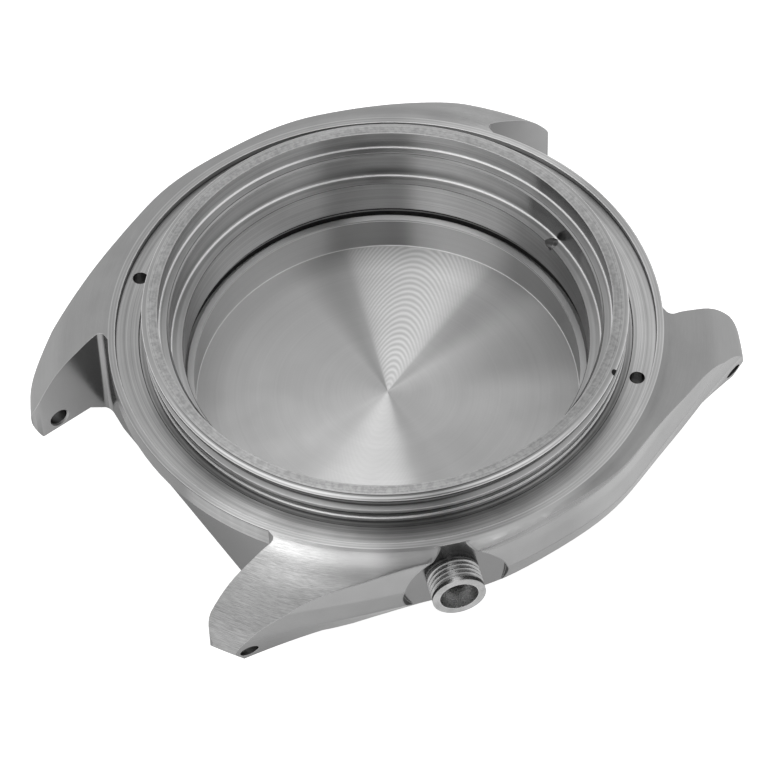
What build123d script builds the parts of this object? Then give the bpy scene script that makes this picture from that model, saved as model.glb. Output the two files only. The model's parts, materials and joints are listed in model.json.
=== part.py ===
"""Empty watch case: middle with four drilled lugs, screwed back, its seal and the threaded crown tube.

Millimetres, +Z up. The origin is on the case axis in the plane the back rests on.
+X points to 3 o'clock and +Y to 12 o'clock.
"""
import os
from math import cos, radians, sin

from build123d import *

os.makedirs("parts", exist_ok=True)

# Clearances and the overrun of every cut
fitClearance = 0.02
sealClearance = 0.02
overrun = 1.0

# Radii of the turned middle, each wall and ledge added outwards from the movement bore
boreRadius = 14.25
dialLedgeWidth = 0.83
crystalLedgeWidth = 0.72
ledgeChamfer = 0.15
ringWall = 0.75
lipOverhang = 0.37
grooveDepth = 0.42
ridgeSetback = 0.06
footStep = 0.25
footReliefWidth = 0.5
recessWidth = 2.15
rimWidth = 0.5
backLedgeWidth = 1.05

rehautRadius = boreRadius + dialLedgeWidth
crystalRadius = rehautRadius + crystalLedgeWidth
ringTopRadius = crystalRadius + ringWall
lipRadius = ringTopRadius + lipOverhang
grooveRadius = lipRadius - grooveDepth
ridgeRadius = lipRadius - ridgeSetback
footRadius = grooveRadius + footStep
footReliefRadius = footRadius + footReliefWidth
recessRadius = footRadius + recessWidth
rimRadius = recessRadius + rimWidth
backBoreRadius = boreRadius + backLedgeWidth

# Heights of the turned middle, measured from the resting plane
middleBottom = 0.9
middleHeight = 9.4
recessDepth = 0.45
flangeThickness = 1.1
footReliefDepth = 0.15
ringRise = 2.25
crystalSeatDepth = 1.5
rehautHeight = 2.25
boreLength = 2.7

rimTop = middleBottom + middleHeight
seatFloor = rimTop - recessDepth
flangeUnderside = seatFloor - flangeThickness
ringTop = rimTop + ringRise
crystalLedge = ringTop - crystalSeatDepth
dialLedge = crystalLedge - rehautHeight
boreBottom = dialLedge - boreLength

# Edges of the two ridges and the lip, from the seat upwards, as shares of the ring's height over the seat
ringShares = (0.0741, 0.137, 0.1963, 0.3222, 0.3704, 0.4704, 0.5556, 0.8333, 0.9074)
ringEdges = [seatFloor + share * (ringTop - seatFloor) for share in ringShares]
lowerRidgeFoot, lowerRidgeEdge, lowerRidgeTop = ringEdges[:3]
grooveTop, upperRidgeFoot, upperRidgeEdge, upperRidgeTop = ringEdges[3:7]
lipFoot, lipEdge = ringEdges[7:]

# Gap for the strap between two lugs
strapGap = 22.0
gapWallThickness = 1.25
gapCornerRadius = 0.45
gapWall = backBoreRadius + gapWallThickness

# Lugs, turned over the top and underneath
lugReach = 6.0
lugTipThickness = 1.2
lugTipRise = 1.5
lugRootRise = 0.4
lugTipFacet = 0.7
stepInset = 0.4
stepTaper = 2.2
lugTipInnerCorner = 0.6
lugTipOuterCorner = 1.1

lugTipRadius = rimRadius + lugReach
lugTipUnderside = middleBottom + lugTipRise
lugRootUnderside = lugTipUnderside + lugRootRise
lugTipHeight = lugTipUnderside + lugTipThickness
lugFacetRadius = lugTipRadius - lugTipFacet
stepRadius = rimRadius - stepInset

# Points of the turned shoulder as shares of its reach and of its fall from the rim to the lug tips
shoulderShares = (
    (0.16667, 0.02388),
    (0.36667, 0.12687),
    (0.50833, 0.20896),
    (0.65, 0.32090),
    (0.79167, 0.48507),
    (0.90833, 0.66418),
    (0.98, 0.83582),
)

# Flanks, half widths at the middle and at the lug tips
flankOverhang = 0.9
lugTipWidth = 1.5
flankUndercut = 3.6
lugUndercut = 0.5
flankEndRoom = 0.6
bulge = 0.3
bulgeDrop = 2.65
bellyDrop = 2.4
roundingInset = 0.6
roundingUpperInset = 0.32
roundingUpperDrop = 0.3
roundingLowerInset = 0.1
roundingLowerDrop = 0.9

widestHalf = rimRadius + flankOverhang + bulge
topMiddleHalf = widestHalf - roundingInset
topTipHalf = strapGap / 2 + lugTipWidth
widestTipHalf = topTipHalf + bulge
footMiddleHalf = widestHalf - bulge - flankUndercut
footTipHalf = topTipHalf - lugUndercut
flankLength = lugTipRadius + flankEndRoom
bulgeHeight = rimTop - bulgeDrop
bellyHeight = bulgeHeight - bellyDrop

# How much of the undercut the flank already has at its belly
bellyUndercutShare = 0.22
bellyMiddleHalf = widestHalf - bellyUndercutShare * (flankUndercut + bulge)
bellyTipHalf = widestTipHalf - bellyUndercutShare * (lugUndercut + bulge)

# Stations of the flank as shares of its length, and its widths there as shares from the tip to the middle
stationShares = (0.0, 0.23077, 0.38462, 0.53846, 0.69231, 0.84615, 1.0)
topWidthShares = (1.0, 0.91975, 0.72469, 0.51852, 0.29877, 0.12346, 0.0)
footWidthShares = (1.0, 0.83, 0.61, 0.39, 0.25, 0.13, 0.0)

# Holes in the middle
lugHoleRadius = 0.65
lugHoleChamfer = 0.11
lugHoleSetback = 4.75
lugHoleRise = 1.1
seatHoleRadius = 0.53
seatHoleInset = 0.9
seatHoleAngle = 39.9
seatHoleDepth = 1.6
lipHoleRadius = 0.35
lipHoleAngle = 33.5
cornerHoleRadius = 0.45
cornerHoleAngle = 90.8
cornerHoleOffset = 0.15
cornerHoleSlope = 45
cornerHoleDepth = 1.0

lugHoleStation = lugTipRadius - lugHoleSetback
lugHoleHeight = lugTipUnderside + lugHoleRise
seatHoleCircle = recessRadius - seatHoleInset
lipHoleHeight = (upperRidgeTop + lipFoot) / 2
cornerHoleCircle = boreRadius + cornerHoleOffset

# Crown side
crownAngle = -21.5
crownDrop = 3.6
counterboreRadius = 3.7
counterboreStep = 0.15
tubeLength = 1.8
tubeRadius = 1.85
tubeWall = 0.52
tubeMouthDepth = 2.6
tubeStep = 0.35
tubeShankWall = 0.7
tubeInnerWall = 1.1
tubeLip = 0.3
tubeThreadRelief = 0.2
tubeThreadPitch = 0.35
tubeThreadDepth = 0.17
stemHoleRadius = 0.4

crownHeight = rimTop - crownDrop
counterboreFloor = rimRadius + counterboreStep
tubeEnd = counterboreFloor + tubeLength
tubeMouthRadius = tubeRadius - tubeWall
tubeShankRadius = tubeRadius - tubeStep
tubeStemRadius = tubeShankRadius - tubeShankWall
tubeInnerEnd = backBoreRadius + tubeInnerWall

# Seal, in the corner between the back's shoulder, its lip and the step of the middle
sealHeadroom = 0.25
sealHeight = 0.85
sealSideGap = 0.25
sealLipGap = 0.35
sealRounding = 0.12

# Screwed back
backThickness = 2.6
backFlangeWidth = 0.7
backEdgeBevel = 0.4
backLipInset = 0.1
backLipWall = 0.47
backLipRise = 0.48
backThreadGap = 0.1
backThreadPitch = 0.6
backThreadDepth = 0.3
backThreadRunIn = 0.7
backThreadRunOut = 0.35
backNeckDepth = 0.45
backNeckHeight = 0.6
wrenchSlots = 6
wrenchSlotWidth = 3.2
wrenchSlotDepth = 0.45
wrenchSlotLength = 1.8

sealTop = boreBottom - sealHeadroom
backShoulder = sealTop - sealHeight
backLipTop = backShoulder + backLipRise
backLipRadius = boreRadius - backLipInset
backInnerRadius = backLipRadius - backLipWall
backThreadRadius = backBoreRadius - backThreadGap
backNeckRadius = backThreadRadius - backNeckDepth
backNeckTop = middleBottom + backNeckHeight
backRadius = backBoreRadius + backFlangeWidth
sealInnerRadius = backLipRadius + sealLipGap
sealOuterRadius = backBoreRadius - sealSideGap
sealBottom = backShoulder + sealClearance

# Width of a thread groove at its mouth and at its root, as shares of the pitch
grooveMouthShare = 0.84
grooveRootShare = 0.16


def flankPoints(middleHalf, tipHalf, widthShares):
    """Points of one flank from the 6 o'clock end to the 12 o'clock end."""
    widths = [tipHalf + share * (middleHalf - tipHalf) for share in widthShares]
    ahead = [(width, share * flankLength) for width, share in zip(widths, stationShares)]
    behind = [(width, -station) for width, station in reversed(ahead[1:])]
    return behind + ahead


def flankOutline(middleHalf, tipHalf, widthShares, height):
    """Closed outline of both flanks at one height."""
    right = flankPoints(middleHalf, tipHalf, widthShares)
    left = [(-width, station) for width, station in reversed(right)]
    with BuildSketch(Plane.XY.offset(height)) as outline:
        with BuildLine():
            Spline(*right)
            Line(right[-1], left[0])
            Spline(*left)
            Line(left[-1], right[0])
        make_face()
    return outline.sketch


def turned(points):
    """Half section to turn about the case axis, drawn in the XZ plane."""
    with BuildSketch(Plane.XZ) as section:
        with BuildLine():
            Polyline(*points, close=True)
        make_face()
    return section.sketch


def crownPlane(distance):
    """Plane square to the crown axis at a distance from the case axis."""
    angle = radians(crownAngle)
    centre = (distance * cos(angle), distance * sin(angle), crownHeight)
    return Plane(origin=centre, x_dir=(-sin(angle), cos(angle), 0), z_dir=(cos(angle), sin(angle), 0))


def radialPlane(distance, angleDegrees, height):
    """Plane square to a radius of the case."""
    angle = radians(angleDegrees)
    centre = (distance * cos(angle), distance * sin(angle), height)
    return Plane(origin=centre, x_dir=(-sin(angle), cos(angle), 0), z_dir=(cos(angle), sin(angle), 0))


def slopingPlane(distance, angleDegrees, height, slopeDegrees):
    """Plane square to a line that runs outwards and down from a point of the case."""
    angle = radians(angleDegrees)
    slope = radians(slopeDegrees)
    centre = (distance * cos(angle), distance * sin(angle), height)
    outwards = (cos(slope) * cos(angle), cos(slope) * sin(angle), -sin(slope))
    return Plane(origin=centre, x_dir=(-sin(angle), cos(angle), 0), z_dir=outwards)


def threadGroove(base, radius, pitch, depth, length):
    """Helical groove round the Z axis of a plane, from that plane upwards."""
    with BuildPart() as groove:
        with BuildLine() as threadPath:
            Helix(pitch=pitch, height=length, radius=radius)
        start = Plane(origin=threadPath.line @ 0, x_dir=(1, 0, 0), z_dir=threadPath.line % 0)
        mouth = pitch * grooveMouthShare / 2
        root = pitch * grooveRootShare / 2
        cutter = [(-depth, -root), (0, -mouth), (depth, -mouth), (depth, mouth), (0, mouth), (-depth, root)]
        with BuildSketch(start) as section:
            with BuildLine():
                Polyline(*cutter, close=True)
            make_face()
        sweep(path=threadPath.line, is_frenet=True)
    return groove.part.moved(base.location)


# Case middle
shoulderPoints = [
    (rimRadius + reach * lugReach, rimTop - fall * (rimTop - lugTipHeight)) for reach, fall in shoulderShares
]
with BuildSketch(Plane.XZ) as shoulderLimit:
    with BuildLine():
        Polyline(
            (rimRadius, rimTop),
            (0, rimTop),
            (0, middleBottom - overrun),
            (stepRadius, middleBottom - overrun),
            (stepRadius, middleBottom),
            (stepRadius + stepTaper, lugRootUnderside),
            (lugFacetRadius, lugTipUnderside),
            (lugTipRadius, lugTipHeight),
        )
        Spline((rimRadius, rimTop), *shoulderPoints, (lugTipRadius, lugTipHeight))
    make_face()
ringSection = [
    (rehautRadius, flangeUnderside),
    (footRadius, flangeUnderside),
    (footRadius, lowerRidgeFoot),
    (ridgeRadius, lowerRidgeEdge),
    (grooveRadius, lowerRidgeTop),
    (grooveRadius, grooveTop),
    (ridgeRadius, upperRidgeFoot),
    (ridgeRadius, upperRidgeEdge),
    (grooveRadius, upperRidgeTop),
    (grooveRadius, lipFoot),
    (lipRadius, lipFoot),
    (lipRadius, lipEdge),
    (ringTopRadius, ringTop),
    (rehautRadius, ringTop),
]
openingSection = [
    (0, middleBottom - overrun),
    (backBoreRadius, middleBottom - overrun),
    (backBoreRadius, boreBottom),
    (boreRadius, boreBottom),
    (boreRadius, dialLedge),
    (rehautRadius, dialLedge),
    (rehautRadius, crystalLedge - ledgeChamfer),
    (rehautRadius + ledgeChamfer, crystalLedge),
    (crystalRadius, crystalLedge),
    (crystalRadius, ringTop + overrun),
    (0, ringTop + overrun),
]
recessSection = [
    (footRadius, seatFloor - footReliefDepth),
    (footReliefRadius, seatFloor - footReliefDepth),
    (footReliefRadius, seatFloor),
    (recessRadius, seatFloor),
    (recessRadius, rimTop + overrun),
    (footRadius, rimTop + overrun),
]
gapSpan = flankLength - gapWall
footOutline = flankOutline(footMiddleHalf, footTipHalf, footWidthShares, middleBottom)
bellyOutline = flankOutline(bellyMiddleHalf, bellyTipHalf, topWidthShares, bellyHeight)
creaseOutline = flankOutline(widestHalf, widestTipHalf, topWidthShares, bulgeHeight)
lowerHalf = widestHalf - roundingLowerInset
lowerOutline = flankOutline(lowerHalf, topTipHalf, topWidthShares, rimTop - roundingLowerDrop)
upperHalf = widestHalf - roundingUpperInset
upperOutline = flankOutline(upperHalf, topTipHalf, topWidthShares, rimTop - roundingUpperDrop)
topOutline = flankOutline(topMiddleHalf, topTipHalf, topWidthShares, rimTop)
flankLayers = [footOutline, bellyOutline, creaseOutline, lowerOutline, upperOutline, topOutline]

with BuildPart() as midCase:
    for lower, upper in zip(flankLayers, flankLayers[1:]):
        add(lower)
        add(upper)
        loft(ruled=True)
    add(shoulderLimit.sketch)
    revolve(axis=Axis.Z, mode=Mode.INTERSECT)
    with BuildSketch(Plane.XY.offset(middleBottom - overrun)) as planOutline:
        add(flankOutline(widestHalf, widestTipHalf, topWidthShares, middleBottom - overrun))
        Circle(lugTipRadius, mode=Mode.INTERSECT)
        with Locations((0, gapWall + gapSpan / 2), (0, -gapWall - gapSpan / 2)):
            Rectangle(strapGap, gapSpan, mode=Mode.SUBTRACT)
        corners = planOutline.vertices()
        rootCorners = corners.filter_by(lambda corner: abs(abs(corner.Y) - gapWall) < fitClearance)
        fillet(rootCorners, gapCornerRadius)
        tipCorners = planOutline.vertices().filter_by(lambda corner: abs(corner.Y) > lugHoleStation)
        innerCorners = tipCorners.filter_by(lambda corner: abs(corner.X) < strapGap / 2 + fitClearance)
        outerCorners = tipCorners.filter_by(lambda corner: abs(corner.X) > strapGap / 2 + fitClearance)
        fillet(innerCorners, lugTipInnerCorner)
        fillet(outerCorners, lugTipOuterCorner)
    extrude(amount=rimTop - middleBottom + overrun, mode=Mode.INTERSECT)
    with BuildSketch(Plane.XY.offset(flangeUnderside)) as flange:
        Circle(rimRadius)
    extrude(amount=rimTop - flangeUnderside)
    add(turned(recessSection))
    revolve(axis=Axis.Z, mode=Mode.SUBTRACT)
    add(turned(ringSection))
    revolve(axis=Axis.Z)
    add(turned(openingSection))
    revolve(axis=Axis.Z, mode=Mode.SUBTRACT)
    with BuildSketch(Plane.YZ.offset(-widestHalf)) as lugHoles:
        with Locations((lugHoleStation, lugHoleHeight), (-lugHoleStation, lugHoleHeight)):
            Circle(lugHoleRadius)
    extrude(amount=widestHalf * 2, mode=Mode.SUBTRACT)
    holeEdges = midCase.edges().filter_by(GeomType.CIRCLE)
    mouthEdges = holeEdges.filter_by(lambda edge: abs(edge.radius - lugHoleRadius) < fitClearance)
    innerMouths = mouthEdges.filter_by(
        lambda edge: abs(abs(edge.arc_center.X) - strapGap / 2) < fitClearance
    )
    chamfer(innerMouths, lugHoleChamfer)
    with BuildSketch(Plane.XY.offset(seatFloor - seatHoleDepth)) as seatHoles:
        with PolarLocations(seatHoleCircle, 2, start_angle=seatHoleAngle):
            Circle(seatHoleRadius)
    extrude(amount=seatHoleDepth + overrun, mode=Mode.SUBTRACT)
    with BuildSketch(crownPlane(counterboreFloor)) as counterbore:
        Circle(counterboreRadius)
    extrude(amount=tubeEnd - counterboreFloor + overrun, mode=Mode.SUBTRACT)
    with BuildSketch(crownPlane(tubeInnerEnd - fitClearance)) as tubeBore:
        Circle(tubeShankRadius)
    extrude(amount=tubeEnd - tubeInnerEnd, mode=Mode.SUBTRACT)
    with BuildSketch(crownPlane(boreRadius - overrun)) as stemHole:
        Circle(stemHoleRadius)
    extrude(amount=tubeInnerEnd - boreRadius + overrun, mode=Mode.SUBTRACT)
    with BuildSketch(radialPlane(crystalRadius - overrun, lipHoleAngle, lipHoleHeight)) as lipHole:
        Circle(lipHoleRadius)
    extrude(amount=lipRadius - crystalRadius + overrun * 2, mode=Mode.SUBTRACT)
    cornerPlane = slopingPlane(cornerHoleCircle, cornerHoleAngle, dialLedge, cornerHoleSlope)
    with BuildSketch(cornerPlane) as cornerHole:
        Circle(cornerHoleRadius)
    extrude(amount=cornerHoleDepth, mode=Mode.SUBTRACT)
    extrude(cornerHole.sketch, amount=-overrun, mode=Mode.SUBTRACT)
midCase.part.label = "mid_case"

# Screwed back
backSection = [
    (0, 0),
    (backRadius - backEdgeBevel, 0),
    (backRadius, backEdgeBevel),
    (backRadius, middleBottom - fitClearance),
    (backNeckRadius, middleBottom - fitClearance),
    (backNeckRadius, backNeckTop),
    (backThreadRadius, backNeckTop + (backThreadRadius - backNeckRadius)),
    (backThreadRadius, backShoulder - backThreadDepth),
    (backThreadRadius - backThreadDepth, backShoulder),
    (backLipRadius, backShoulder),
    (backLipRadius, backLipTop),
    (backInnerRadius, backLipTop),
    (backInnerRadius, backThickness),
    (0, backThickness),
]
backGroove = threadGroove(
    Plane.XY.offset(backNeckTop + backThreadRunIn),
    backThreadRadius,
    backThreadPitch,
    backThreadDepth,
    backShoulder - backNeckTop - backThreadRunIn - backThreadRunOut,
)

with BuildPart() as caseBack:
    add(turned(backSection))
    revolve(axis=Axis.Z)
    add(backGroove, mode=Mode.SUBTRACT)
    with BuildSketch(Plane.XY) as slots:
        with PolarLocations(backRadius - (wrenchSlotLength - overrun) / 2, wrenchSlots):
            Rectangle(wrenchSlotLength + overrun, wrenchSlotWidth)
    extrude(amount=wrenchSlotDepth, mode=Mode.SUBTRACT)
caseBack.part.label = "case_back"

# Seal that lies on the shoulder of the back
with BuildPart() as backSeal:
    with BuildSketch(Plane.XZ) as sealSection:
        with Locations(((sealInnerRadius + sealOuterRadius) / 2, (sealBottom + sealTop) / 2)):
            RectangleRounded(sealOuterRadius - sealInnerRadius, sealTop - sealBottom, sealRounding)
    revolve(axis=Axis.Z)
backSeal.part.label = "back_seal"

# Crown tube
tubeGroove = threadGroove(
    crownPlane(counterboreFloor + tubeThreadRelief),
    tubeRadius,
    tubeThreadPitch,
    tubeThreadDepth,
    tubeEnd - counterboreFloor - tubeThreadRelief - tubeLip,
)

with BuildPart() as crownTube:
    with BuildSketch(crownPlane(tubeInnerEnd)) as shank:
        Circle(tubeShankRadius - fitClearance)
    extrude(amount=tubeEnd - tubeInnerEnd)
    with BuildSketch(crownPlane(counterboreFloor + fitClearance)) as barrel:
        Circle(tubeRadius)
    extrude(amount=tubeEnd - counterboreFloor - fitClearance)
    add(tubeGroove, mode=Mode.SUBTRACT)
    with BuildSketch(crownPlane(tubeInnerEnd)) as stemBore:
        Circle(tubeStemRadius)
    extrude(amount=tubeEnd - tubeInnerEnd + overrun, mode=Mode.SUBTRACT)
    with BuildSketch(crownPlane(tubeEnd - tubeMouthDepth)) as mouth:
        Circle(tubeMouthRadius)
    extrude(amount=tubeMouthDepth + overrun, mode=Mode.SUBTRACT)
crownTube.part.label = "crown_tube"

export_step(midCase.part, "parts/mid_case.step")
export_step(caseBack.part, "parts/case_back.step")
export_step(backSeal.part, "parts/back_seal.step")
export_step(crownTube.part, "parts/crown_tube.step")
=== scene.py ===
import bpy
import json
from math import cos, radians, sin
from mathutils import Matrix, Vector

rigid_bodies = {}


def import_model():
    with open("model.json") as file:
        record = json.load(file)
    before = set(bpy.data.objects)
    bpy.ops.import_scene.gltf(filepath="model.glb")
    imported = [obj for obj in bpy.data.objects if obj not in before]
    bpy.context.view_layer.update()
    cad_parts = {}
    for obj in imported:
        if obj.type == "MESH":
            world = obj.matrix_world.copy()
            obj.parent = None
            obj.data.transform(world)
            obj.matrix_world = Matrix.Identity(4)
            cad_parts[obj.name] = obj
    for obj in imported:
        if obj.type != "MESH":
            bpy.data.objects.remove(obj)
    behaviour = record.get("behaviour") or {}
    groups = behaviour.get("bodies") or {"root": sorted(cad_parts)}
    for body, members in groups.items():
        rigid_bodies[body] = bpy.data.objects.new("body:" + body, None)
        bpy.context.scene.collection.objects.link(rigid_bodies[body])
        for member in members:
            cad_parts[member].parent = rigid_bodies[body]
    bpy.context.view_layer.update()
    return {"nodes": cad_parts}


# the start-up cube, lamp and camera go before the frame is loaded
for thing in list(bpy.data.objects):
    bpy.data.objects.remove(thing)
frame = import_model()
nodes = frame["nodes"]
print("frame loaded", sorted(nodes))


# camera, worked out from the circles of the case
cameraSettings = {
    "turn": 56.8,
    "elevation": 51.75,
    "roll": -1.93,
    "distance": 0.25949,
    "drop": 0.00435,
    "height": 0.0103,
    "lens": 173.64,
    "clip": (0.01, 10),
}


def addCamera(s):
    turn = Matrix.Rotation(radians(s["turn"]), 3, "Z")
    tilt = radians(s["elevation"])
    forward = turn @ Vector((0, cos(tilt), -sin(tilt)))
    level = turn @ Vector((1, 0, 0))
    upright = turn @ Vector((0, sin(tilt), cos(tilt)))
    roll = radians(s["roll"])
    across = level * cos(roll) + upright * sin(roll)
    upward = -level * sin(roll) + upright * cos(roll)
    data = bpy.data.cameras.new("camera")
    data.lens = s["lens"]
    data.clip_start, data.clip_end = s["clip"]
    camera = bpy.data.objects.new("camera", data)
    bpy.context.scene.collection.objects.link(camera)
    stand = Matrix((across, upward, -forward)).transposed().to_4x4()
    stand.translation = Vector((0, 0, s["height"])) - forward * s["distance"] - upward * s["drop"]
    camera.matrix_world = stand
    bpy.context.scene.camera = camera


addCamera(cameraSettings)
print("camera placed")


# small helpers for shader nodes
def feed(tree, socket, value):
    if isinstance(value, (int, float)):
        socket.default_value = value
    else:
        tree.links.new(value, socket)


def newGroup(name, inputs, outputs):
    group = bpy.data.node_groups.new(name, "ShaderNodeTree")
    for label, value in inputs.items():
        socket = group.interface.new_socket(name=label, in_out="INPUT", socket_type="NodeSocketFloat")
        socket.default_value = value
    for label, kind in outputs.items():
        group.interface.new_socket(name=label, in_out="OUTPUT", socket_type="NodeSocket" + kind)
    return group, group.nodes.new("NodeGroupInput").outputs, group.nodes.new("NodeGroupOutput").inputs


def place(tree, name, **values):
    node = tree.nodes.new("ShaderNodeGroup")
    node.node_tree = bpy.data.node_groups[name]
    for label, value in values.items():
        node.inputs[label].default_value = value
    return node.outputs


def math(tree, operation, *values):
    node = tree.nodes.new("ShaderNodeMath")
    node.operation = operation
    for socket, value in zip(node.inputs, values):
        feed(tree, socket, value)
    return node.outputs[0]


def product(tree, *values):
    result = values[0]
    for value in values[1:]:
        result = math(tree, "MULTIPLY", result, value)
    return result


def weighted(tree, a, shareA, b, shareB):
    return math(tree, "ADD", math(tree, "MULTIPLY", a, shareA), math(tree, "MULTIPLY", b, shareB))


def distance(tree, a, b):
    return math(tree, "SQRT", math(tree, "ADD", product(tree, a, a), product(tree, b, b)))


def inverse(tree, value):
    return math(tree, "SUBTRACT", 1.0, value)


# limits are low and high, with the two results after them where these are not 0 and 1
def ramp(tree, value, limits, smooth=True):
    node = tree.nodes.new("ShaderNodeMapRange")
    node.interpolation_type = "SMOOTHSTEP" if smooth else "LINEAR"
    for socket, number in zip(node.inputs[1:5], (*limits, 0.0, 1.0)[:4]):
        socket.default_value = number
    tree.links.new(value, node.inputs[0])
    return node.outputs[0]


def slope(tree, value, limits):
    return ramp(tree, value, limits, smooth=False)


# limits are low, high and half the width of the soft ends
def band(tree, value, limits):
    low, high, soft = limits
    rising = ramp(tree, value, (low - soft, low + soft))
    return product(tree, rising, ramp(tree, value, (high + soft, high - soft)))


def mix(tree, amount, a, b):
    node = tree.nodes.new("ShaderNodeMix")
    node.data_type = "FLOAT"
    for number, value in ((0, amount), (2, a), (3, b)):
        feed(tree, node.inputs[number], value)
    return node.outputs[0]


def vectorMath(tree, operation, a, b):
    node = tree.nodes.new("ShaderNodeVectorMath")
    node.operation = operation
    tree.links.new(a, node.inputs[0])
    if operation == "SCALE":
        feed(tree, node.inputs["Scale"], b)
    elif isinstance(b, (tuple, Vector)):
        node.inputs[1].default_value = b
    else:
        tree.links.new(b, node.inputs[1])
    return node.outputs["Value" if operation in ("DOT_PRODUCT", "DISTANCE") else "Vector"]


def upwards(tree, height):
    node = tree.nodes.new("ShaderNodeCombineXYZ")
    tree.links.new(height, node.inputs[2])
    return node.outputs[0]


def noise(tree, position, scale, detail, roughness=0.5, dimensions="3D"):
    node = tree.nodes.new("ShaderNodeTexNoise")
    node.noise_dimensions = dimensions
    node.inputs["Scale"].default_value = scale
    node.inputs["Detail"].default_value = detail
    node.inputs["Roughness"].default_value = roughness
    tree.links.new(position, node.inputs["W" if dimensions == "1D" else "Vector"])
    return node.outputs[0]


def direction(azimuth, elevation=0):
    az, el = radians(azimuth), radians(elevation)
    return Vector((cos(az) * cos(el), sin(az) * cos(el), sin(el)))


# soft patch round a direction of the case axis: azimuth, outer and inner half width in degrees
def sector(tree, way, limits):
    azimuth, outer, inner = limits
    toward = vectorMath(tree, "DOT_PRODUCT", way, direction(azimuth))
    return ramp(tree, toward, (cos(radians(outer)), cos(radians(inner))))


# a point's place along and beside a level line through the case axis
def turned(tree, polar, azimuth):
    az = radians(azimuth)
    along = weighted(tree, polar["X"], cos(az), polar["Y"], sin(az))
    aside = weighted(tree, polar["X"], -sin(az), polar["Y"], cos(az))
    return along, aside


# position of a point in millimetres, its distance from the axis and its direction round it
polarSettings = {"millimetres": 1000, "leastRadius": 0.001}


def makePolarPlace(s):
    group, _, end = newGroup("polarPlace", {}, {
        "X": "Float", "Y": "Float", "Z": "Float", "Radius": "Float", "Round": "Vector",
        "Place": "Vector", "Side": "Float", "Ahead": "Float", "Up": "Float",
    })
    coordinates = group.nodes.new("ShaderNodeTexCoord").outputs
    position = vectorMath(group, "SCALE", coordinates["Object"], s["millimetres"])
    parts = group.nodes.new("ShaderNodeSeparateXYZ")
    group.links.new(position, parts.inputs[0])
    x, y, z = parts.outputs
    radius = distance(group, x, y)
    safe = math(group, "MAXIMUM", radius, s["leastRadius"])
    way = group.nodes.new("ShaderNodeCombineXYZ")
    group.links.new(math(group, "DIVIDE", x, safe), way.inputs[0])
    group.links.new(math(group, "DIVIDE", y, safe), way.inputs[1])
    facing = group.nodes.new("ShaderNodeSeparateXYZ")
    group.links.new(coordinates["Normal"], facing.inputs[0])
    results = (x, y, z, radius, way.outputs[0], position, *facing.outputs)
    for socket, value in zip(end, results):
        group.links.new(value, socket)


# tool marks of the lathe: fine rings that follow radius and height, with a few deeper ones
turningSettings = {
    "climb": 1.37,
    "fineDetail": 2.0,
    "broadDetail": 3.0,
    "fade": 1.6,
    "fadeStep": 0.5,
    "fineShare": 0.65,
    "fadeShare": 0.35,
    "ringShare": 0.6,
    "broadShare": 0.4,
}


def makeTurningMarks(s):
    group, start, end = newGroup("turningMarks", {"Pitch": 0.08, "Broad": 0.9}, {
        "Height": "Float", "Shade": "Float",
    })
    polar = place(group, "polarPlace")
    along = math(group, "ADD", polar["Radius"], math(group, "MULTIPLY", polar["Z"], s["climb"]))
    fineWay = math(group, "DIVIDE", along, start["Pitch"])
    broadWay = math(group, "DIVIDE", along, start["Broad"])
    fine = noise(group, fineWay, 1.0, s["fineDetail"], dimensions="1D")
    broad = noise(group, broadWay, 1.0, s["broadDetail"], dimensions="1D")
    # each ring fades in and out a little on its way round
    wide = vectorMath(group, "SCALE", polar["Round"], s["fade"])
    lifted = vectorMath(group, "ADD", wide, upwards(group, math(group, "MULTIPLY", fineWay, s["fadeStep"])))
    rings = weighted(group, fine, s["fineShare"], noise(group, lifted, 1.0, 1.0), s["fadeShare"])
    group.links.new(rings, end["Height"])
    group.links.new(weighted(group, rings, s["ringShare"], broad, s["broadShare"]), end["Shade"])


# brushing that runs round the case axis: long soft strokes and short scratches
brushingSettings = {
    "stroke": {"scale": 1.0, "detail": 3.0, "roughness": 0.6},
    "scratch": {"scale": 3.2, "detail": 3.0, "roughness": 0.8},
    "shares": (0.5, 0.5),
}


def makeBrushing(s):
    group, start, end = newGroup("brushing", {"Stroke": 4.0, "Grain": 6.0}, {
        "Height": "Float", "Shade": "Float", "Scratch": "Float",
    })
    polar = place(group, "polarPlace")
    along = vectorMath(group, "SCALE", polar["Round"], start["Stroke"])
    across = math(group, "SUBTRACT", polar["Radius"], polar["Z"])
    lifted = vectorMath(group, "ADD", along, upwards(group, product(group, across, start["Grain"])))
    strokes = noise(group, lifted, **s["stroke"])
    scratches = noise(group, lifted, **s["scratch"])
    strokeShare, scratchShare = s["shares"]
    group.links.new(strokes, end["Height"])
    group.links.new(weighted(group, strokes, strokeShare, scratches, scratchShare), end["Shade"])
    group.links.new(scratches, end["Scratch"])


# faint blotches and fine specks from handling
handlingSettings = {
    "blotch": {"scale": 1.0, "detail": 4.0},
    "speck": {"scale": 9.0, "detail": 3.0, "roughness": 0.7},
}


def makeHandling(s):
    group, start, end = newGroup("handling", {"Size": 0.25}, {"Blotch": "Float", "Speck": "Float"})
    polar = place(group, "polarPlace")
    scaled = vectorMath(group, "SCALE", polar["Place"], start["Size"])
    group.links.new(noise(group, scaled, **s["blotch"]), end["Blotch"])
    group.links.new(noise(group, scaled, **s["speck"]), end["Speck"])


# painted reflections on turned faces, which are not evenly bright round the axis: each patch is a sector and
# a change of tone
reflectionPatchSettings = {
    "paintedBoreReflections": (
        ((180, 48, 12), 0.55),
        ((121, 20, 6), 0.45),
        ((151, 16, 6), -0.5),
        ((66, 30, 10), -0.22),
    ),
    "paintedRimReflections": (
        ((-54, 22, 8), 0.42),
        ((118, 24, 8), 0.4),
        ((-18, 20, 8), -0.25),
        ((35, 58, 20), 0.42),
    ),
}


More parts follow.
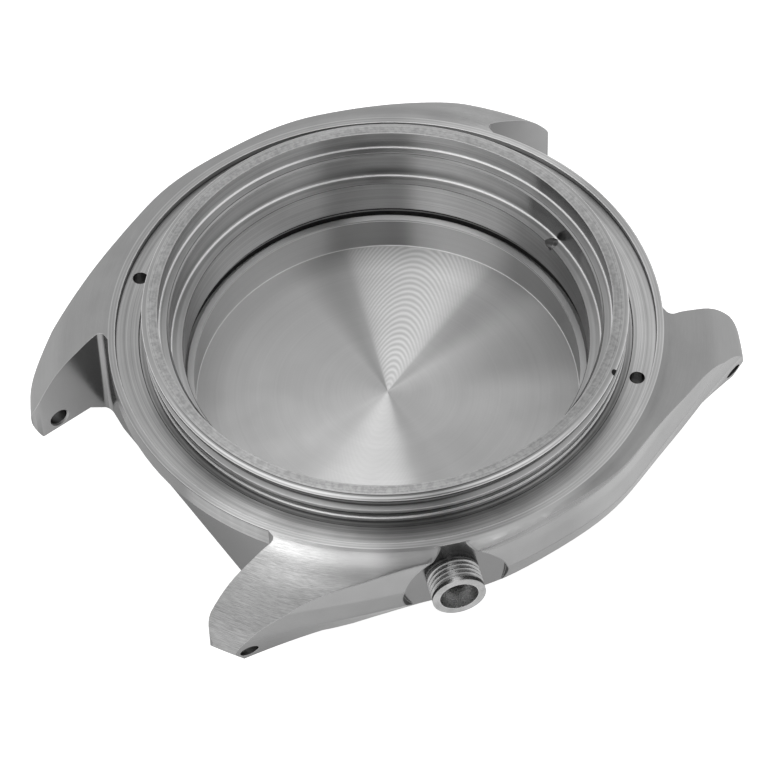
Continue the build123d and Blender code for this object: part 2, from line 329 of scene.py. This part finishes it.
def makePaintedReflections(name, patches):
    group, _, end = newGroup(name, {}, {"Tone": "Float"})
    polar = place(group, "polarPlace")
    tone = 1.0
    for limits, change in patches:
        patch = product(group, sector(group, polar["Round"], limits), change)
        tone = math(group, "ADD", tone, patch)
    group.links.new(tone, end["Tone"])


# turned corners that get painted highlight lines or painted shade lines, each given by radius, height and
# line width in millimetres
cornerSettings = {
    "Light": (
        (16.55, 12.55, 0.07),
        (16.92, 12.3, 0.08),
        (16.86, 11.12, 0.06),
        (16.86, 10.85, 0.05),
        (16.86, 10.22, 0.06),
        (15.8, 12.55, 0.06),
        (15.78, 11.07, 0.13),
        (15.06, 8.82, 0.13),
        (18.9, 10.3, 0.05),
        (13.68, 5.33, 0.06),
        (13.68, 2.6, 0.08),
    ),
    "PaintedShade": (
        (16.5, 11.35, 0.1),
        (16.5, 12.1, 0.12),
        (16.92, 12.05, 0.07),
        (16.5, 10.72, 0.08),
        (16.5, 10.38, 0.1),
        (16.75, 9.75, 0.11),
        (17.25, 9.85, 0.06),
        (18.9, 9.85, 0.08),
        (15.2, 11.05, 0.05),
        (14.25, 8.8, 0.05),
        (19.4, 10.25, 0.05),
    ),
}
# share of a line's width that is at full strength
cornerCore = 0.35


def cornerLine(tree, polar, corner):
    radius, height, width = corner
    aside = math(tree, "SUBTRACT", polar["Radius"], radius)
    above = math(tree, "SUBTRACT", polar["Z"], height)
    return ramp(tree, distance(tree, aside, above), (width, width * cornerCore))


def cornerSet(tree, polar, corners):
    total = cornerLine(tree, polar, corners[0])
    for corner in corners[1:]:
        total = math(tree, "MAXIMUM", total, cornerLine(tree, polar, corner))
    return total


def makeCornerLines(s):
    group, _, end = newGroup("paintedCornerLines", {}, {"Light": "Float", "PaintedShade": "Float"})
    polar = place(group, "polarPlace")
    for name, corners in s.items():
        group.links.new(cornerSet(group, polar, corners), end[name])


makePolarPlace(polarSettings)
makeTurningMarks(turningSettings)
makeBrushing(brushingSettings)
makeHandling(handlingSettings)
for reflectionName, reflectionPatches in reflectionPatchSettings.items():
    makePaintedReflections(reflectionName, reflectionPatches)
makeCornerLines(cornerSettings)
print("shared effects made")


# helpers for whole materials
surfaceSettings = {"bumpDistance": 0.00001, "bevelSamples": 6, "paintedEdgeFacing": (0.99, 0.85)}


def newMaterial(name):
    material = bpy.data.materials.new(name)
    material.use_nodes = True
    return material, material.node_tree, material.node_tree.nodes["Principled BSDF"].inputs


def grey(tree, value):
    node = tree.nodes.new("ShaderNodeCombineColor")
    for socket in node.inputs:
        tree.links.new(value, socket)
    return node.outputs[0]


def bump(tree, height, strength, base=None):
    node = tree.nodes.new("ShaderNodeBump")
    node.inputs["Distance"].default_value = surfaceSettings["bumpDistance"]
    feed(tree, node.inputs["Strength"], strength)
    tree.links.new(height, node.inputs["Height"])
    if base is not None:
        tree.links.new(base, node.inputs["Normal"])
    return node.outputs[0]


def ringTangent(tree, shader, amount, turn):
    node = tree.nodes.new("ShaderNodeTangent")
    node.direction_type = "RADIAL"
    node.axis = "Z"
    tree.links.new(node.outputs[0], shader["Tangent"])
    shader["Anisotropic"].default_value = amount
    shader["Anisotropic Rotation"].default_value = turn


def rounded(tree, radius):
    node = tree.nodes.new("ShaderNodeBevel")
    node.samples = surfaceSettings["bevelSamples"]
    feed(tree, node.inputs["Radius"], radius)
    return node.outputs[0]


# mask for painted highlights on edges, which are found where the rounded normal departs from the real one
def paintedEdgeMask(tree, normal):
    shape = tree.nodes.new("ShaderNodeNewGeometry")
    facing = vectorMath(tree, "DOT_PRODUCT", normal, shape.outputs["Normal"])
    return ramp(tree, facing, surfaceSettings["paintedEdgeFacing"])


# faces of the case middle, told apart by place in millimetres and by the way they look
zoneSettings = {
    "rimEdge": (19.43, 19.37),
    "flankFacing": (0.7, 0.76),
    "innerFacing": (0.95, 0.98),
    "inwards": (0.0, -0.5),
    "wallFacing": (0.97, 0.985),
    "wallFrom": (14.6, 14.8),
    "crownAzimuth": -21.5,
    "crownHeight": 6.7,
    "crownSide": (10, 11),
    "spotEdge": (3.85, 3.75),
    "spotFace": (19.51, 19.59, 0.02),
    "spotRim": (3.65, 3.76, 0.02),
    "spotRimFrom": (19.5, 19.6),
    "roundAcross": (17, 12),
    "roundFrom": (19.6, 19.8),
    "roundBelow": (10.25, 10.1),
    "crownLugAcross": (-13, -17),
    "crownLugAside": (2, 8),
    "farLugAcross": (14, 17),
    "farLugAside": (-2, -8),
}


def middleZones(tree, polar, s):
    x, y, z, radius = (polar[name] for name in ("X", "Y", "Z", "Radius"))
    zones = {"inside": ramp(tree, radius, s["rimEdge"])}
    outside = zones["outside"] = inverse(tree, zones["inside"])
    # flanks look sideways, the gap walls look ahead
    sideways = math(tree, "ABSOLUTE", polar["Side"])
    flank = product(tree, ramp(tree, sideways, s["flankFacing"]), outside)
    inwards = ramp(tree, math(tree, "MULTIPLY", polar["Side"], x), s["inwards"])
    zones["inner"] = product(tree, ramp(tree, sideways, s["innerFacing"]), outside, inwards)
    ahead = math(tree, "ABSOLUTE", polar["Ahead"])
    wall = product(tree, ramp(tree, ahead, s["wallFacing"]), ramp(tree, radius, s["wallFrom"]))
    zones["wall"] = wall
    # flat spot round the crown tube
    along, aside = turned(tree, polar, s["crownAzimuth"])
    zones["aside"] = aside
    fromCrown = distance(tree, aside, math(tree, "SUBTRACT", z, s["crownHeight"]))
    crownSide = ramp(tree, x, s["crownSide"])
    spotZone = product(tree, ramp(tree, fromCrown, s["spotEdge"]), crownSide)
    spot = zones["spot"] = product(tree, spotZone, band(tree, along, s["spotFace"]))
    zones["spotRim"] = product(
        tree, band(tree, fromCrown, s["spotRim"]), crownSide, ramp(tree, radius, s["spotRimFrom"]),
    )
    zones["polished"] = math(tree, "MAXIMUM", math(tree, "MAXIMUM", flank, wall), spot)
    # the shoulder between the lugs is rounded
    zones["round"] = product(
        tree, outside, inverse(tree, spotZone), ramp(tree, math(tree, "ABSOLUTE", y), s["roundAcross"]),
        ramp(tree, radius, s["roundFrom"]), ramp(tree, z, s["roundBelow"]),
    )
    for name in ("crownLug", "farLug"):
        across, beside = ramp(tree, y, s[name + "Across"]), ramp(tree, x, s[name + "Aside"])
        zones[name] = product(tree, across, beside, outside)
    return zones


# tone of the brushed tops: short scratches lie on the lug beside the crown, the others are satin; the
# scratched lugs are painted lighter at the root than at the tip
brushSettings = {
    "satin": (0.3, 0.7, 0.8, 0.88),
    "nearScratch": (0.34, 0.66, 0.72, 1.4),
    "nearFade": (19.5, 24.5, 1.45, 0.84),
    "farScratch": (0.34, 0.66, 0.8, 1.3),
    "farFade": (19.5, 23.5, 1.05, 0.78),
    "overTube": (-4.6, -0.8, 1.3),
    "overTone": 0.55,
    "besideTube": (1.6, 9.0, 1.5),
    "besideTone": 1.42,
    "tubeSide": (12, 15),
}


def brushedShade(tree, polar, zones, strokes, s):
    satin = slope(tree, strokes["Shade"], s["satin"])
    # painted light: the scratched lugs get lighter towards their roots
    near = product(
        tree, slope(tree, strokes["Scratch"], s["nearScratch"]), slope(tree, polar["Radius"], s["nearFade"]),
    )
    far = product(
        tree, slope(tree, strokes["Scratch"], s["farScratch"]), slope(tree, polar["Radius"], s["farFade"]),
    )
    shade = mix(tree, zones["farLug"], mix(tree, zones["crownLug"], satin, near), far)
    # painted shade on the shoulder over the crown above the tube, and a painted highlight beside it
    tubeSide = ramp(tree, polar["X"], s["tubeSide"])
    over = product(tree, band(tree, zones["aside"], s["overTube"]), tubeSide)
    beside = product(tree, band(tree, zones["aside"], s["besideTube"]), tubeSide)
    return product(tree, shade, mix(tree, over, 1.0, s["overTone"]), mix(tree, beside, 1.0, s["besideTone"]))


# tone of the turned tops of the rim and the recess, with painted reflections round the axis on the upward
# faces outside the ring
turnSettings = {
    "marks": (0.35, 0.65, 0.84, 1.12),
    "outerFrom": (16.7, 16.9),
    "topFacing": (0.5, 0.7),
    "deepFrom": (16.3, 16.4),
    "deepMarks": (0.38, 0.62, 0.88, 1.12),
}


def turnedShade(tree, polar, marks, s):
    shade = slope(tree, marks["Shade"], s["marks"])
    outerTop = ramp(tree, polar["Radius"], s["outerFrom"])
    outerTop = product(tree, outerTop, ramp(tree, polar["Up"], s["topFacing"]))
    deepMarks = slope(tree, marks["Height"], s["deepMarks"])
    deepMarks = mix(tree, ramp(tree, polar["Radius"], s["deepFrom"]), 1.0, deepMarks)
    # painted reflections, lighter and darker round the axis
    paintedRimReflections = place(tree, "paintedRimReflections")["Tone"]
    return product(tree, shade, mix(tree, outerTop, 1.0, paintedRimReflections), deepMarks)


# tone of the raised ring: its worn top, with painted light on its grooved outside and on the walls of the
# bore
ringSettings = {
    "top": (15.8, 16.55, 0.03),
    "topHeight": (12.48, 12.5),
    "patches": (0.36, 0.64, 0.84, 1.1),
    "uprightFacing": (0.6, 0.4),
    "outerWall": (16.3, 17.0, 0.03),
    "outerBelow": (11.3, 11.1),
    "paintedOuterWallLight": 1.5,
    "outerBright": (-8, 34, 14),
    "outerBrightTone": 2.1,
    "innerFrom": (15.9, 15.85),
    "paintedBoreWallLight": 1.35,
    "lowerFoot": (9.0, 9.6, 0.25),
    "upperFoot": (11.2, 11.7, 0.2),
    "upperFootDepth": 0.5,
    "footTone": 1.0,
}


def ringShade(tree, polar, wear, shade, s):
    z, radius = polar["Z"], polar["Radius"]
    top = product(tree, band(tree, radius, s["top"]), ramp(tree, z, s["topHeight"]))
    shade = product(tree, shade, mix(tree, top, 1.0, ramp(tree, wear["Speck"], s["patches"])))
    upright = ramp(tree, math(tree, "ABSOLUTE", polar["Up"]), s["uprightFacing"])
    outerWall = product(tree, upright, band(tree, radius, s["outerWall"]), ramp(tree, z, s["outerBelow"]))
    # painted light on the outer wall, with a painted highlight in a sector round azimuth -8
    bright = sector(tree, polar["Round"], s["outerBright"])
    paintedOuterWallLight = mix(tree, bright, s["paintedOuterWallLight"], s["outerBrightTone"])
    # painted light on the bore walls with painted reflections round the axis, less of it in bands near their
    # feet
    innerWall = product(tree, upright, ramp(tree, radius, s["innerFrom"]))
    upperFoot = product(tree, band(tree, z, s["upperFoot"]), s["upperFootDepth"])
    foot = math(tree, "MAXIMUM", band(tree, z, s["lowerFoot"]), upperFoot)
    paintedBoreWallLight = mix(tree, foot, s["paintedBoreWallLight"], s["footTone"])
    paintedBoreWallLight = product(tree, place(tree, "paintedBoreReflections")["Tone"], paintedBoreWallLight)
    return product(tree, shade, mix(tree, outerWall, 1.0, paintedOuterWallLight), mix(tree, innerWall, 1.0, paintedBoreWallLight))


# painted shade on the polished faces: darker towards the underside, at the roots of the lugs' inner faces,
# low on the gap walls and on the flat spot round the crown tube, with a painted highlight on the flank where
# x and y are positive
polishShadeSettings = {
    "flank": (1.0, 6.0, 0.5, 0.82),
    "brightAside": (0, 4),
    "brightAcross": (0, 6),
    "brightTone": 1.3,
    "inner": (16.5, 22.5, 0.46, 0.82),
    "wall": (1.0, 8.0, 0.5, 0.64),
    "spot": 0.62,
}


def polishedPaintedShade(tree, polar, zones, s):
    x, y, z = polar["X"], polar["Y"], polar["Z"]
    bright = product(tree, ramp(tree, x, s["brightAside"]), ramp(tree, y, s["brightAcross"]))
    shade = product(tree, slope(tree, z, s["flank"]), mix(tree, bright, 1.0, s["brightTone"]))
    shade = mix(tree, zones["inner"], shade, slope(tree, math(tree, "ABSOLUTE", y), s["inner"]))
    shade = mix(tree, zones["wall"], shade, slope(tree, z, s["wall"]))
    return mix(tree, zones["spot"], shade, s["spot"])


# painted highlight and painted shade lines along the turned corners, painted shade round the rim of the flat
# spot, and on the crown side a painted highlight along the lip between painted shadow lines
lineSettings = {
    "lipFrom": (12.2, 12.4),
    "boreFrom": (15.95, 15.85),
    "grooveTone": 1.9,
    "boreLineTone": 2.8,
    "outerLipFrom": (16.6, 16.7),
    "innerLipTone": 1.25,
    "outerLipTone": 2.1,
    "lightAmount": 0.8,
    "darkAmount": 0.85,
    "darkTone": 0.22,
    "spotRimAmount": 0.7,
    "spotRimTone": 0.55,
    "shineSector": (-40, 66, 30),
    "shine": (16.75, 12.42, 0.11),
    "shineTone": 2.1,
    "shadows": ((16.58, 12.54, 0.06), (16.94, 12.22, 0.1)),
    "shadowAmount": 0.85,
    "shadowTone": 0.26,
}


def linedShade(tree, polar, zones, shade, s):
    lines = place(tree, "paintedCornerLines")
    low = mix(tree, ramp(tree, polar["Radius"], s["boreFrom"]), s["grooveTone"], s["boreLineTone"])
    high = mix(tree, ramp(tree, polar["Radius"], s["outerLipFrom"]), s["innerLipTone"], s["outerLipTone"])
    lightTone = mix(tree, ramp(tree, polar["Z"], s["lipFrom"]), low, high)
    shade = mix(tree, product(tree, lines["Light"], s["lightAmount"]), shade, lightTone)
    shade = mix(tree, product(tree, lines["PaintedShade"], s["darkAmount"]), shade, s["darkTone"])
    shade = mix(tree, product(tree, zones["spotRim"], s["spotRimAmount"]), shade, s["spotRimTone"])
    crownSide = sector(tree, polar["Round"], s["shineSector"])
    shadow = cornerSet(tree, polar, s["shadows"])
    shade = mix(tree, product(tree, shadow, crownSide, s["shadowAmount"]), shade, s["shadowTone"])
    return mix(tree, product(tree, cornerLine(tree, polar, s["shine"]), crownSide), shade, s["shineTone"])


# painted shade of a small hole in the lip of the ring, a dark spot in the colour
paintedLipHoleSettings = {"azimuth": 33.5, "radius": 16.85, "height": 12.25, "edge": (0.3, 0.24), "tone": 0.05}


def paintedLipHoleShade(tree, polar, shade, s):
    centre = direction(s["azimuth"]) * s["radius"] + Vector((0, 0, s["height"]))
    toHole = vectorMath(tree, "DISTANCE", polar["Place"], centre)
    return mix(tree, ramp(tree, toHole, s["edge"]), shade, s["tone"])


# steel of the case middle
middleSettings = {
    "steel": 0.36,
    "grazing": 0.65,
    "anisotropic": 0.6,
    "anisotropicTurn": 0.25,
    "marks": {"Pitch": 0.16, "Broad": 0.5},
    "strokes": {"Stroke": 9.0, "Grain": 7.0},
    "wear": {"Size": 0.3},
    "brushed": 0.34,
    "turned": 0.3,
    "polished": 0.2,
    "blotchRoughness": (0.35, 0.65, -0.02, 0.03),
    "blotchTone": (0.3, 0.7, 0.95, 1.04),
    "edgeRadius": 0.00006,
    "roundRadius": 0.00035,
    # painted highlight on the edges
    "edgeTone": 1.5,
    "brushedBump": 0.3,
    "turnedBump": 0.12,
    "polishedBump": 0.02,
}


def makeMiddleSteel(s):
    material, tree, shader = newMaterial("caseSteel")
    shader["Metallic"].default_value = 1
    shader["Specular Tint"].default_value = (s["grazing"], s["grazing"], s["grazing"], 1)
    ringTangent(tree, shader, s["anisotropic"], s["anisotropicTurn"])
    polar = place(tree, "polarPlace")
    marks = place(tree, "turningMarks", **s["marks"])
    strokes = place(tree, "brushing", **s["strokes"])
    wear = place(tree, "handling", **s["wear"])
    zones = middleZones(tree, polar, zoneSettings)
    roughness = mix(tree, zones["inside"], s["brushed"], s["turned"])
    roughness = mix(tree, zones["polished"], roughness, s["polished"])
    roughness = math(tree, "ADD", roughness, ramp(tree, wear["Blotch"], s["blotchRoughness"]))
    tree.links.new(roughness, shader["Roughness"])
    brushed = brushedShade(tree, polar, zones, strokes, brushSettings)
    shade = mix(tree, zones["inside"], brushed, turnedShade(tree, polar, marks, turnSettings))
    shade = ringShade(tree, polar, wear, shade, ringSettings)
    shade = mix(tree, zones["polished"], shade, polishedPaintedShade(tree, polar, zones, polishShadeSettings))
    shade = product(tree, shade, ramp(tree, wear["Blotch"], s["blotchTone"]))
    normal = rounded(tree, mix(tree, zones["round"], s["edgeRadius"], s["roundRadius"]))
    # painted highlight along the outer edges, except on the rounded shoulder
    edge = product(tree, paintedEdgeMask(tree, normal), zones["outside"], inverse(tree, zones["round"]))
    shade = mix(tree, edge, shade, s["edgeTone"])
    shade = linedShade(tree, polar, zones, shade, lineSettings)
    shade = paintedLipHoleShade(tree, polar, shade, paintedLipHoleSettings)
    tree.links.new(grey(tree, math(tree, "MULTIPLY", shade, s["steel"])), shader["Base Color"])
    height = mix(tree, zones["inside"], strokes["Height"], marks["Height"])
    strength = mix(tree, zones["inside"], s["brushedBump"], s["turnedBump"])
    strength = mix(tree, zones["polished"], strength, s["polishedBump"])
    tree.links.new(bump(tree, height, strength, normal), shader["Normal"])
    return material


# painted reflection on the turned floor of the back: two bright wedges with fine rings and darker borders,
# and painted shade in a sector round azimuth 88
paintedBackFloorSettings = {
    "azimuth": -45,
    "wedgeWidths": (25.5, 20),
    "wedgeTone": 0.9,
    "besideWidths": (46, 30),
    "besideTone": 0.7,
    "besideDepths": (0.45, 1.0),
    "ringStretch": 9.0,
    "ringCount": 12.0,
    "ringWobble": 5.0,
    "ringFrom": (0.5, -2.5, 0.3, 1.0),
    "ringSector": (138, 22, 6),
    "ringSides": 0.35,
    "ringBorder": (13.6, 13.5),
    "ringTone": (-1.0, 1.0, 0.8, 1.1),
    "shadeSector": (88, 34, 8),
    "shadeFrom": (3, 9),
    "shadeTone": 0.72,
}


def paintedBackFloorLight(tree, polar, wear, s):
    wedges, besides = [], []
    for azimuth, depth in zip((s["azimuth"], s["azimuth"] + 180), s["besideDepths"]):
        wedges.append(sector(tree, polar["Round"], (azimuth, *s["wedgeWidths"])))
        besides.append(product(tree, sector(tree, polar["Round"], (azimuth, *s["besideWidths"])), depth))
    wedge = math(tree, "ADD", *wedges)
    beside = math(tree, "ADD", *besides)
    ahead, across = turned(tree, polar, s["azimuth"])
    long = math(tree, "ADD", product(tree, ahead, ahead), product(tree, across, across, s["ringStretch"]))
    bent = weighted(tree, math(tree, "SQRT", long), s["ringCount"], wear["Blotch"], s["ringWobble"])
    rings = slope(tree, math(tree, "SINE", bent), s["ringTone"])
    middle = mix(tree, sector(tree, polar["Round"], s["ringSector"]), s["ringSides"], 1.0)
    depth = product(
        tree, wedge, ramp(tree, ahead, s["ringFrom"]), middle, ramp(tree, polar["Radius"], s["ringBorder"]),
    )
    # painted shade in a sector of the floor
    shaded = sector(tree, polar["Round"], s["shadeSector"])
    shaded = product(tree, shaded, ramp(tree, polar["Radius"], s["shadeFrom"]))
    shade = mix(tree, wedge, mix(tree, beside, 1.0, s["besideTone"]), s["wedgeTone"])
    return product(tree, shade, mix(tree, depth, 1.0, rings), mix(tree, shaded, 1.0, s["shadeTone"]))


# steel of the screwed back
backSettings = {
    "steel": 0.6,
    "roughness": 0.38,
    "anisotropic": 1.0,
    "anisotropicTurn": 0.25,
    "marks": {"Pitch": 0.16, "Broad": 1.1},
    "wear": {"Size": 0.3},
    "marksTone": (0.3, 0.7, 0.96, 1.03),
    "flatFacing": (0.6, 0.9),
    "paintedWallShade": 0.72,
    "lineAmount": 0.8,
    "lineTone": 1.5,
    "blotchRoughness": (0.3, 0.7, -0.02, 0.03),
    "edgeRadius": 0.00005,
    "bump": 0.15,
}


def makeBackSteel(s):
    material, tree, shader = newMaterial("backSteel")
    shader["Metallic"].default_value = 1
    ringTangent(tree, shader, s["anisotropic"], s["anisotropicTurn"])
    polar = place(tree, "polarPlace")
    marks = place(tree, "turningMarks", **s["marks"])
    wear = place(tree, "handling", **s["wear"])
    flat = ramp(tree, polar["Up"], s["flatFacing"])
    # painted shade and painted reflections on the upright walls
    wall = product(tree, place(tree, "paintedBoreReflections")["Tone"], s["paintedWallShade"])
    faces = mix(tree, flat, wall, paintedBackFloorLight(tree, polar, wear, paintedBackFloorSettings))
    shade = product(tree, slope(tree, marks["Shade"], s["marksTone"]), faces)
    # painted highlight lines along the turned corners
    lines = product(tree, place(tree, "paintedCornerLines")["Light"], s["lineAmount"])
    shade = mix(tree, lines, shade, s["lineTone"])
    tree.links.new(grey(tree, math(tree, "MULTIPLY", shade, s["steel"])), shader["Base Color"])
    roughness = math(tree, "ADD", ramp(tree, wear["Blotch"], s["blotchRoughness"]), s["roughness"])
    tree.links.new(roughness, shader["Roughness"])
    normal = rounded(tree, s["edgeRadius"])
    tree.links.new(bump(tree, marks["Height"], s["bump"], normal), shader["Normal"])
    return material


# rubber of the seal, with a painted highlight line that shows at its foot
sealSettings = {
    "wear": {"Size": 0.8},
    "tone": (0.3, 0.7, 0.0084, 0.018),
    "roughness": (0.3, 0.7, 0.45, 0.65),
    "line": (5.55, 5.69, 0.02),
    "lineTone": 0.3,
    "bump": 0.5,
}


def makeSealRubber(s):
    material, tree, shader = newMaterial("sealRubber")
    wear = place(tree, "handling", **s["wear"])
    # painted highlight line
    line = band(tree, place(tree, "polarPlace")["Z"], s["line"])
    shade = mix(tree, line, ramp(tree, wear["Blotch"], s["tone"]), s["lineTone"])
    tree.links.new(grey(tree, shade), shader["Base Color"])
    tree.links.new(ramp(tree, wear["Speck"], s["roughness"]), shader["Roughness"])
    tree.links.new(bump(tree, wear["Speck"], s["bump"]), shader["Normal"])
    return material


# steel of the crown tube, with painted light and shade in its bore, dark at the axis and light at the mouth,
# and painted highlights along its edges
tubeSettings = {
    "wear": {"Size": 1.2},
    "tone": (0.3, 0.7, 0.306, 0.396),
    "azimuth": -21.5,
    "height": 6.7,
    "mouth": (1.36, 1.32),
    "bore": (0.5, 1.34, 0.3, 0.75),
    "roughness": (0.3, 0.7, 0.22, 0.36),
    "edgeRadius": 0.00004,
    "edgeAmount": 0.6,
    "edgeTone": 0.54,
    "bump": 0.3,
}


def makeTubeSteel(s):
    material, tree, shader = newMaterial("tubeSteel")
    shader["Metallic"].default_value = 1
    polar = place(tree, "polarPlace")
    wear = place(tree, "handling", **s["wear"])
    aside = turned(tree, polar, s["azimuth"])[1]
    fromAxis = distance(tree, aside, math(tree, "SUBTRACT", polar["Z"], s["height"]))
    shade = ramp(tree, wear["Blotch"], s["tone"])
    # painted shade deep in the bore, painted light towards its mouth
    shade = mix(tree, ramp(tree, fromAxis, s["mouth"]), shade, slope(tree, fromAxis, s["bore"]))
    normal = rounded(tree, s["edgeRadius"])
    # painted highlight along the edges
    shade = mix(tree, product(tree, paintedEdgeMask(tree, normal), s["edgeAmount"]), shade, s["edgeTone"])
    tree.links.new(grey(tree, shade), shader["Base Color"])
    tree.links.new(ramp(tree, wear["Speck"], s["roughness"]), shader["Roughness"])
    tree.links.new(bump(tree, wear["Speck"], s["bump"], normal), shader["Normal"])
    return material


def dress(name, material):
    for slot in nodes[name].material_slots:
        slot.material = material


dress("mid_case", makeMiddleSteel(middleSettings))
dress("case_back", makeBackSteel(backSettings))
dress("back_seal", makeSealRubber(sealSettings))
dress("crown_tube", makeTubeSteel(tubeSettings))
print("materials given")


# white paper floor, which glows a little so that the picture's ground stays white
floorSettings = {
    "size": 3.0,
    "paper": 0.6,
    "roughness": 0.9,
    "specular": 0.1,
    "cameraGlow": 0.86,
    "mirrorGlow": 0.72,
}


def makeFloor(s):
    bpy.ops.object.select_all(action="DESELECT")
    bpy.ops.mesh.primitive_plane_add(size=s["size"])
    floor = bpy.context.object
    floor.name = "floor"
    material, tree, shader = newMaterial("paper")
    shader["Base Color"].default_value = (s["paper"], s["paper"], s["paper"], 1)
    shader["Roughness"].default_value = s["roughness"]
    shader["Specular IOR Level"].default_value = s["specular"]
    path = tree.nodes.new("ShaderNodeLightPath").outputs
    mirrored = math(tree, "MAXIMUM", path["Is Glossy Ray"], path["Is Transmission Ray"])
    seen = math(tree, "MULTIPLY", path["Is Camera Ray"], s["cameraGlow"])
    strength = math(tree, "MAXIMUM", seen, math(tree, "MULTIPLY", mirrored, s["mirrorGlow"]))
    glow = tree.nodes.new("ShaderNodeEmission")
    glow.inputs["Color"].default_value = (1, 1, 1, 1)
    tree.links.new(strength, glow.inputs["Strength"])
    both = tree.nodes.new("ShaderNodeAddShader")
    tree.links.new(tree.nodes["Principled BSDF"].outputs[0], both.inputs[0])
    tree.links.new(glow.outputs[0], both.inputs[1])
    tree.links.new(both.outputs[0], tree.nodes["Material Output"].inputs["Surface"])
    floor.data.materials.append(material)


makeFloor(floorSettings)


# even studio light with a dark card, which stands where a photographer would,
# and a narrow dark slot beside the overhead lamp
worldSettings = {
    "light": 0.95,
    "card": 0.12,
    "cardAzimuth": -33.2,
    "cardElevation": 50,
    "cardWidths": (30, 14),
    "slot": 0.2,
    "slotAzimuth": 56.8,
    "slotFrom": (0.09, 0.15),
    "slotTo": (0.37, 0.25),
    "slotAbove": (0.7, 0.85),
}


def makeWorld(s):
    world = bpy.data.worlds.new("studio")
    bpy.context.scene.world = world
    world.use_nodes = True
    tree = world.node_tree
    where = tree.nodes.new("ShaderNodeTexCoord").outputs["Generated"]
    parts = tree.nodes.new("ShaderNodeSeparateXYZ")
    tree.links.new(where, parts.inputs[0])
    toCard = vectorMath(tree, "DOT_PRODUCT", where, direction(s["cardAzimuth"], s["cardElevation"]))
    card = ramp(tree, toCard, [cos(radians(width)) for width in s["cardWidths"]])
    level = mix(tree, card, s["light"], s["card"])
    aside = vectorMath(tree, "DOT_PRODUCT", where, direction(s["slotAzimuth"]))
    slot = product(
        tree, ramp(tree, aside, s["slotFrom"]), ramp(tree, aside, s["slotTo"]),
        ramp(tree, parts.outputs[2], s["slotAbove"]),
    )
    level = mix(tree, slot, level, s["slot"])
    tree.links.new(grey(tree, level), tree.nodes["Background"].inputs["Color"])


makeWorld(worldSettings)


# softbox over the case, placed by azimuth, elevation and distance
lampSettings = {"azimuth": -123, "elevation": 82.4, "distance": 0.5, "size": (0.5, 0.26), "power": 0.65}


def addLamp(name, s):
    data = bpy.data.lights.new(name, "AREA")
    data.shape = "RECTANGLE"
    data.size, data.size_y = s["size"]
    data.energy = s["power"]
    lamp = bpy.data.objects.new(name, data)
    bpy.context.scene.collection.objects.link(lamp)
    toLamp = direction(s["azimuth"], s["elevation"])
    across = direction(s["azimuth"] + 90)
    stand = Matrix((across, toLamp.cross(across), toLamp)).transposed().to_4x4()
    stand.translation = toLamp * s["distance"]
    lamp.matrix_world = stand


addLamp("overhead", lampSettings)
bpy.context.scene.view_settings.view_transform = "Standard"
print("studio lit")
